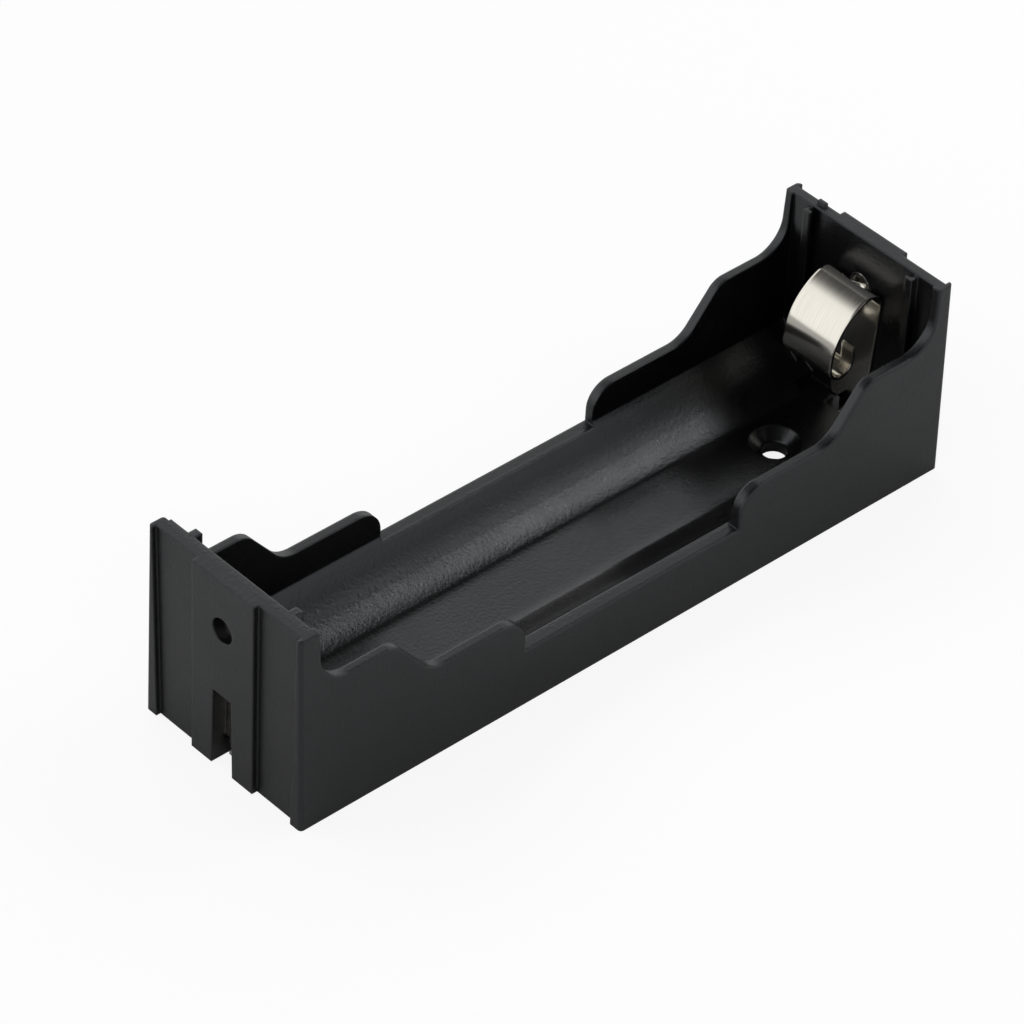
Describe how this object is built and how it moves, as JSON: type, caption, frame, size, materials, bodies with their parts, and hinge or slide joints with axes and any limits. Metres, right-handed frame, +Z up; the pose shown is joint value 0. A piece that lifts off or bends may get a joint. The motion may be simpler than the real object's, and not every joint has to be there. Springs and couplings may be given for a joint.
{
  "type": "cylindrical cell holder",
  "caption": "Open moulded tray that holds one cylindrical cell between folded spring contacts, with countersunk screw holes in its floor.",
  "frame": {"origin": "middle of the base, on the plane that the holder is screwed down to", "axes": "+X along the cell, +Z up out of the cell bay"},
  "size_m": [0.0782, 0.021, 0.0216],
  "materials": {
    "moulded_plastic": "black moulding with a fine spark-eroded grain",
    "plated_spring_strip": "bright nickel plate with fine rolling lines along the strip"
  },
  "bodies": {
    "root": {"housing": "moulded_plastic", "contact_far": "plated_spring_strip", "contact_near": "plated_spring_strip"}
  },
  "joints": []
}
